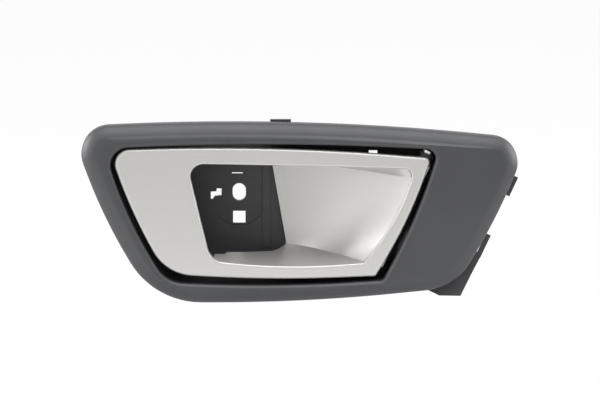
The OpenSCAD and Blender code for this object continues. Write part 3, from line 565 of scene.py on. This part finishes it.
def leverRing(bm):
    r, roll, ease = lever["edgeRadius"], lever["edgeRoll"], lever["skirtEase"]
    face, back, rim = leverFace, leverFace + lever["wall"], leverFace + lever["skirt"]
    outerEdge = outlinePoints(leverOutline, roll + lever["flatOuter"])
    windowEdge = outlinePoints(windowOutline, -r - lever["flatInner"])
    rows = [atDepth(outlinePoints(leverOutline, lever["skirtWall"]), rim),
            atDepth(outlinePoints(leverOutline, ease), rim),
            atDepth(outlinePoints(leverOutline), rim - ease)]
    for across, down in quarterTurn(lever["edgeSteps"]):
        rows.append(atDepth(outlinePoints(leverOutline, roll * across), face + roll * down))
    for i in range(lever["faceSteps"] + 1):
        t = i / lever["faceSteps"]
        rows.append(atDepth([mixed(p, q, t) for p, q in zip(outerEdge, windowEdge)], face))
    for across, down in quarterTurn(lever["edgeSteps"]):
        rows.append(atDepth(outlinePoints(windowOutline, -r * down), face + r * across))
    lipOuter = outlinePoints(windowOutline, -window["lipWall"])
    lip = []
    for p in outlinePoints(windowOutline):  # the lip is deep round the grip and shallow along the bowl
        depth = window["lipDepth"] if p.x < topWallEnd else lever["wall"] + window["lipPast"]
        lip.append(Vector((p.x, face + depth, p.y)))
    rows += [lip, [Vector((q.x, p.y, q.y)) for p, q in zip(lip, lipOuter)], atDepth(lipOuter, back),
             atDepth(outlinePoints(leverOutline, lever["skirtWall"]), back)]
    pulledRows(bm, [crowned(row) for row in rows], joined=True)


def edgeHeight(points, x):
    # where an open outline is at x, or else its nearest point's height
    for a, b in zip(points, points[1:]):
        if min(a.x, b.x) <= x <= max(a.x, b.x) and a.x != b.x:
            return mixed(a.y, b.y, (x - a.x) / (b.x - a.x))
    return min(points, key=lambda p: abs(p.x - x)).y


def bowlRows():
    # the ramp in rows from the window's right edge to its foot, and the window's top and bottom edges
    edge = outlinePoints(windowOutline)
    right = [edge[spot(2, arcSteps)]] + edge[spot(3, 0):spot(3, arcSteps) + 1] + [edge[spot(4, 0)]]
    top = edge[spot(1, 0):spot(2, arcSteps) + 1]
    bottom = edge[spot(4, 0):spot(6, arcSteps) + 1]
    footTop = edgeHeight(top, bowl["footX"]) - slopeX(bowl["rampDepth"], bowl["topDraft"])
    footBottom = edgeHeight(bottom, bowl["footX"]) + slopeX(bowl["rampDepth"], bowl["bottomDraft"])
    columns = [(k / bowl["rampColumns"]) ** bowl["columnEase"] for k in range(bowl["rampColumns"] + 1)]

    def rampPoint(i, u):
        z = mixed(footTop, footBottom, i / (len(right) - 1))
        q = mixed(right[i], Vector((bowl["footX"] - slopeX(z, bowl["footLean"]), z)), u)
        return Vector((q.x, bowlFace + bowl["rampDepth"] * (1 - (1 - u) ** bowl["rampBend"]), q.y))

    return [[rampPoint(i, u) for u in columns] for i in range(len(right))], top, bottom


def wallRows(crease, edge, leftX, rise):
    # from the window's edge down to the crease, then on past the ramp's foot
    foot = crease[-1]
    inner = [p.copy() for p in crease]
    for t in bowl["stations"]:
        x = mixed(foot.x, leftX, t)
        shelf = bowl["shelfDepth"] + (x - shelfLeft) * bowl["shelfRise"]
        slope = bowl["rampDepth"] - (foot.x - x) * bowl["footSlope"]
        # the window's lower left corner has a shallower, level ledge
        depth = bowl["cornerDepth"] if x < shelfLeft else max(shelf, slope)
        inner.append(Vector((x, bowlFace + depth, edgeHeight(edge, max(x, shelfLeft)) + depth * rise)))
    outer = [Vector((p.x, bowlFace, edgeHeight(edge, p.x))) for p in inner]
    count = bowl["wallRows"]
    return [[mixed(a, b, k / count) for a, b in zip(outer, inner)] for k in range(count + 1)]


def leverBowl(bm):
    # ramp, bottom wall and top wall as one sheet with filleted folds, then made thick
    rows, top, bottom = bowlRows()
    walls = [wallRows(rows[-1], bottom, shelfLeft - bowl["cornerReach"], slopeX(1, bowl["bottomDraft"])),
             wallRows(rows[0], top, topWallEnd, -slopeX(1, bowl["topDraft"]))]
    for sheet in (rows, *walls):
        pulledRows(bm, sheet, closed=False)
    bmesh.ops.remove_doubles(bm, verts=bm.verts, dist=bowl["weld"])
    bmesh.ops.dissolve_degenerate(bm, dist=bowl["speck"], edges=bm.edges)
    bmesh.ops.recalc_face_normals(bm, faces=bm.faces)
    foldAngle = math.radians(bowl["foldAngle"])
    folds = [e for e in bm.edges if e.is_manifold and e.calc_face_angle(0) > foldAngle]
    bmesh.ops.bevel(bm, geom=folds, offset=bowl["foldRadius"], offset_type="OFFSET", affect="EDGES",
                    segments=bowl["foldSegments"], profile=0.5, clamp_overlap=True, material=-1)
    bmesh.ops.recalc_face_normals(bm, faces=bm.faces)
    if sum(f.normal.y * f.calc_area() for f in bm.faces) > 0:  # the sheet has to face the front
        bmesh.ops.reverse_faces(bm, faces=bm.faces)
    bmesh.ops.solidify(bm, geom=bm.faces, thickness=bowl["rampWall"])


ribs = {
    "wall": 1.4, "depth": 2.2, "sink": 0.4, "ease": 0.25,
    "gripAcross": 5, "gripTop": 6, "gripBottom": 44, "gripDowns": (8, 20, 40),  # from the top left corner
    "places": (-29.57, -19.07, -3.0, 15.96),  # along the pin
    "from": -34.0, "to": -1.0, "stations": 24,  # away from the pin
    "rampDepth": 3.4, "rampSink": 1.0, "foldRoom": 0.6, "rearMost": -8,
}


def gripAt(across, down):
    return leverTL + Vector((across + slopeX(down, lever["leanLeft"]), -down))


def lipAt(down):
    step = down - window["stripTop"]
    return windowTL + Vector((slopeX(step, window["gripLean"]) - ribs["wall"], -step))


def rampAt(rows, p):
    # the ramp's front at p, between the nearest row's points
    row = min(rows, key=lambda r: min((q.x - p.x) ** 2 + (q.z - p.z) ** 2 for q in r))
    near = min(row, key=lambda q: (q.x - p.x) ** 2 + (q.z - p.z) ** 2)
    u = row.index(near)
    a, b = (row[u], row[u + 1]) if near.x > p.x and u + 1 < len(row) else (row[u - 1], row[u])
    return near.y if a.x == b.x else mixed(a.y, b.y, (p.x - a.x) / (b.x - a.x))


def leverRibs(bm):
    # stiffeners behind the grip, and behind the ramp square to the pin
    back, side = leverFace + lever["wall"], ribs["gripAcross"]
    spans = [(gripAt(side, ribs["gripTop"]), gripAt(side, ribs["gripBottom"]))]
    spans += [(gripAt(side, down), lipAt(down)) for down in ribs["gripDowns"]]
    for a, b in spans:
        half = turned(unit(b - a)) * ribs["wall"] / 2
        flat = [(p.x, -p.y) for p in (a - half, a + half, b + half, b - half)]
        slab(bm, flat, ribs["depth"] + ribs["sink"], alongY(0, 0, back - ribs["sink"]), ribs["ease"])
    rows, room = bowlRows()[0], ribs["foldRoom"]
    topFold, bottomFold = [[Vector((q.x, q.z)) for q in row] for row in (rows[0], rows[-1])]
    for s in ribs["places"]:
        front = []
        for k in range(ribs["stations"]):
            across = mixed(ribs["from"], ribs["to"], k / (ribs["stations"] - 1))
            p = pinPoint + across * pinSide + s * pinDir
            if edgeHeight(bottomFold, p.x) + room < p.z < edgeHeight(topFold, p.x) - room:
                front.append((across, rampAt(rows, p) - pinPoint.y))
        if len(front) < 3:  # this rib lies outside the bowl
            continue
        past, rearMost = ribs["rampDepth"] + lever["wall"], ribs["rearMost"] - pinPoint.y
        rear = [(x, min(y + past, rearMost)) for x, y in reversed(front)]
        slab(bm, [(x, y + ribs["rampSink"]) for x, y in front] + rear, ribs["wall"], onPin(s))


# Places along the pin from its middle; the crank's outline is square to it
hinge = {
    "lowEnd": -32.57, "hubEnd": -17.57, "highStart": 11.96, "highEnd": 18.96,
    "knuckle": 4.0, "ease": 0.3, "bore": 1.9, "bushSeat": 2.55, "seatDepth": 7,
    "block": ((3.3, -4.6), (3.3, -2.2), (-1.2, -3.7), (-1.2, -4.6)), "blockEase": 0.2,
    "reach": 28, "thick": 6, "root": 3.2, "rootLeft": -2.5, "taper": 1.5, "crankEase": 0.35,
    "eye": 4, "cableHole": 2.2, "post": 1.2, "postTop": 2.7, "postSink": 0.4, "postPlace": (-0.6, 12.6, 0),
}


def roundEye(radius, first, last, step):
    # points round the middle of the crank's far end, angles in degrees
    angles = [math.radians(t) for t in range(first, last, step)]
    return [(radius * math.cos(t), hinge["reach"] + radius * math.sin(t)) for t in angles]


def leverHinge(bm):
    # two knuckles on blocks, and the crank with its slotted eye and the spring's post
    r, ease, seat = hinge["knuckle"], hinge["ease"], hinge["bushSeat"]
    low, high = hinge["hubEnd"] - hinge["lowEnd"], hinge["highEnd"] - hinge["highStart"]
    turnedRing(bm, [(seat, 0), (seat + ease, 0), (r - ease, 0), (r, ease), (r, low - ease), (r - ease, low),
                    (hinge["bore"], low), (hinge["bore"], hinge["seatDepth"]), (seat, hinge["seatDepth"])],
               onPin(hinge["lowEnd"]))
    turnedRing(bm, [(seat, 0), (r - ease, 0), (r, ease), (r, high - ease), (r - ease, high), (seat, high)],
               onPin(hinge["highStart"]))
    for start, length in ((hinge["lowEnd"], low), (hinge["highStart"], high)):
        slab(bm, hinge["block"], length, onPin(start), hinge["blockEase"])
    root, eye = hinge["root"], hinge["eye"]
    outline = [(hinge["rootLeft"], root), (eye - hinge["taper"] * root / hinge["reach"], root)]
    outline += roundEye(eye, -48, -11, 6)
    outline += roundEye(hinge["cableHole"], -21, -342, -10)  # the cable's end drops in through the slot
    outline += roundEye(eye, 12, 230, 7)
    slab(bm, outline, hinge["thick"], onPin(hinge["hubEnd"] - hinge["thick"]), hinge["crankEase"])
    post, top, sink = hinge["post"], hinge["postTop"], hinge["postSink"]
    turnedRing(bm, [(poleGap, -sink), (post, -sink), (post, top - ease), (post - ease, top), (poleGap, top)],
               onPin(hinge["hubEnd"]) @ Matrix.Translation(hinge["postPlace"]), segments=28)


for name, shape in (("lever_bowl", leverBowl), ("lever_ring", leverRing), ("lever_ribs", leverRibs),
                    ("lever_hinge_side", leverHinge)):
    bm = bmesh.new()
    shape(bm)
    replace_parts(piece(name, bm, "handle", "silver_paint"), "lever")
print("lever made")


# Bezel: a soft-edged surround with a crowned face and a rolled inner lip

bezel = {
    "gapLeft": 2.2, "gapTop": 0.6, "gapTopRight": 3.8, "gapBottom": 3.8, "gapRight": 3.5,
    "openCorners": (8.5, 4.5, 2.5, 15), "openBows": (3.6, 3, 2.8, 3.6),
    "rimLeft": 16.0, "rimRight": 42.0, "rimTop": 9.4, "rimBottom": 10.0, "topFall": 5.3,
    "lowLeft": 0.34, "lowRight": 0.8, "bottomRight": 0.4,  # shares of the rims at the lower corners
    "corners": (13.2, 12.5, 26.5, 38), "bows": (7.4, 2.6, 3.6, 4),
    "wall": 2.4, "shoulder": 5.0, "flatShare": 0.55, "fall": 0.9, "rimEase": 0.3,
    "lipRadius": 2.0, "lipDepth": 6.0, "lipFlat": 0.2, "lipRoot": 0.3,
    "shoulderSteps": 10, "faceSteps": 10, "lipSteps": 7, "backSteps": 6,
}
boss = {
    "screws": ("bezel_screw_left", "bezel_screw_upper", "bezel_screw_lower"),
    "radius": 2.6, "length": 7, "ease": 0.2, "bore": 1.5, "boreEase": 0.1, "floor": 2, "beforeRim": -9,
}
openTL = leverTL + Vector((-bezel["gapLeft"], bezel["gapTop"]))
openTR = leverTR + Vector((bezel["gapRight"], bezel["gapTopRight"]))
openBR = leverBR + Vector((bezel["gapRight"], -bezel["gapBottom"] / 2))
openBL = leverBL - Vector((0, bezel["gapBottom"]))
openOutline = bowedCorners([openTL, openTR, openBR, openBL], bezel["openCorners"], bezel["openBows"])
rimSpots = [
    Vector((openTL.x - bezel["rimLeft"], openTL.y + bezel["rimTop"])),
    Vector((openTR.x + bezel["rimRight"], openTR.y + bezel["rimTop"] - bezel["topFall"])),
    Vector((openBR.x + bezel["rimRight"] * bezel["lowRight"],
            openBR.y - bezel["rimBottom"] * bezel["bottomRight"])),
    Vector((openBL.x - bezel["rimLeft"] * bezel["lowLeft"], openBL.y - bezel["rimBottom"])),
]
bezelOutline = bowedCorners(rimSpots, bezel["corners"], bezel["bows"])


def bezelRows():
    r, lip, wall, fall = bezel["shoulder"], bezel["lipRadius"], bezel["wall"], bezel["fall"]
    rows = [atDepth(outlinePoints(bezelOutline, bezel["rimEase"]), rimBack),
            atDepth(outlinePoints(bezelOutline), rimBack - bezel["rimEase"])]
    steps = bezel["shoulderSteps"]
    for i, (across, down) in enumerate(quarterTurn(steps)):
        # the shoulder lies between a quarter circle and a plain chamfer
        inset = mixed(across, i / steps, bezel["flatShare"])
        drop = mixed(down, 1 - i / steps, bezel["flatShare"])
        rows.append(atDepth(outlinePoints(bezelOutline, r * inset), bezelFace + fall + (r - fall) * drop))
    outer, inner = outlinePoints(bezelOutline, r), outlinePoints(openOutline, -lip - bezel["lipFlat"])
    for i in range(1, bezel["faceSteps"] + 1):
        t = i / bezel["faceSteps"]
        rows.append(atDepth([mixed(p, q, t) for p, q in zip(outer, inner)], bezelFace + fall * (1 - t) ** 2))
    for across, down in quarterTurn(bezel["lipSteps"]):
        rows.append(atDepth(outlinePoints(openOutline, -lip * down), bezelFace + lip * across))
    behindLip = outlinePoints(openOutline, -wall)
    rows += [atDepth(outlinePoints(openOutline), bezelFace + bezel["lipDepth"]),
             atDepth(behindLip, bezelFace + bezel["lipDepth"]),
             atDepth(behindLip, bezelFace + wall + bezel["lipRoot"])]
    for i in range(bezel["backSteps"] + 1):
        turn = math.pi / 2 * (1 - i / bezel["backSteps"])
        rows.append(atDepth(outlinePoints(bezelOutline, r - (r - wall) * math.cos(turn)),
                            bezelFace + r - (r - wall - fall) * math.sin(turn)))
    rows.append(atDepth(outlinePoints(bezelOutline, wall), rimBack))
    return rows


def buildBezel():
    bm = bmesh.new()
    pulledRows(bm, bezelRows(), joined=True)
    r, top, ease = boss["radius"], boss["length"], boss["ease"]
    bore, boreEase = boss["bore"], boss["boreEase"]
    for screw in boss["screws"]:
        x, _, z = middleOf(screw)
        turnedRing(bm, [(poleGap, 0), (r, 0), (r, top - ease), (r - ease, top), (bore + boreEase, top),
                        (bore, top - boreEase), (bore, boss["floor"]), (poleGap, boss["floor"])],
                   alongY(x, z, rimBack + boss["beforeRim"]), segments=32)
    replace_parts(piece("bezel_shell", bm, "base", "bezel_grey"), "bezel")


buildBezel()
print("bezel made")


# Return spring: a round wire wound on the pin, one end on the crank's post, the other in its boss

spring = {
    "wire": 1.1, "radius": 2.45, "pitch": 1.21, "turns": 6.5, "low": -16.02, "perTurn": 40, "round": 16,
    "postLeg": (15.0, 12.0, 9.0, 6.0, 3.0, 1.5), "floorLeg": (1.5, 3.0, 8.0, 13.0, 17.0, 20.1),
}


def buildSpring():
    r, low = spring["radius"], spring["low"]
    high = low + spring["pitch"] * spring["turns"]
    path = [Vector((-r, y, low)) for y in spring["postLeg"]]
    for k in range(int(spring["perTurn"] * spring["turns"]) + 1):
        a = 2 * math.pi * k / spring["perTurn"] - math.pi / 2
        along = low + spring["pitch"] * k / spring["perTurn"]
        path.append(Vector((r * math.sin(a), -r * math.cos(a), along)))
    path += [Vector((r, y, high)) for y in spring["floorLeg"]]
    angles = [2 * math.pi * j / spring["round"] for j in range(spring["round"])]
    rings = []
    for i, p in enumerate(path):
        way = unit(path[min(i + 1, len(path) - 1)] - path[max(i - 1, 0)])
        side = unit(way.cross(Vector((0, 0, 1))))
        up = side.cross(way)
        rings.append([p + spring["wire"] / 2 * (math.cos(t) * side + math.sin(t) * up) for t in angles])
    bm = bmesh.new()
    pulledRows(bm, rings)
    bmesh.ops.holes_fill(bm, edges=[e for e in bm.edges if e.is_boundary], sides=spring["round"])
    bmesh.ops.transform(bm, matrix=onPin(), verts=bm.verts)
    made = piece("spring_wire", bm, None, "spring_steel")
    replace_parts(made, "return_spring")
    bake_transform(made)


buildSpring()
print("spring made")


# Housing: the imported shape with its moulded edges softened

housing = {"weld": 0.002, "flatAngle": 2, "sharpAngle": 30, "soft": 0.25, "softSegments": 2, "softAngle": 40}


def buildHousing():
    bm = bmesh.new()
    bm.from_mesh(frame["nodes"]["housing"].data)
    bmesh.ops.remove_doubles(bm, verts=bm.verts, dist=housing["weld"] * mm)
    flatAngle = math.radians(housing["flatAngle"])
    bmesh.ops.dissolve_limit(bm, angle_limit=flatAngle, verts=bm.verts, edges=bm.edges)
    bmesh.ops.scale(bm, vec=(1 / mm, 1 / mm, 1 / mm), verts=bm.verts)
    made = piece("housing_tray", bm, "base", "housing_black", housing["sharpAngle"])
    edges = made.modifiers.new("softEdges", "BEVEL")
    edges.width = housing["soft"] * mm
    edges.segments = housing["softSegments"]
    edges.limit_method = "ANGLE"
    edges.angle_limit = math.radians(housing["softAngle"])
    edges.harden_normals = True
    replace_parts(made, "housing")


buildHousing()
print("housing made")


# Carried-over nodes take the finish of their slot

for part in frame["record"]["subparts"]:
    node = frame["nodes"].get(part["node"])
    if node is not None:
        node.data.materials.clear()
        node.data.materials.append(finishes[part["material_slot"]])
print("nodes painted")
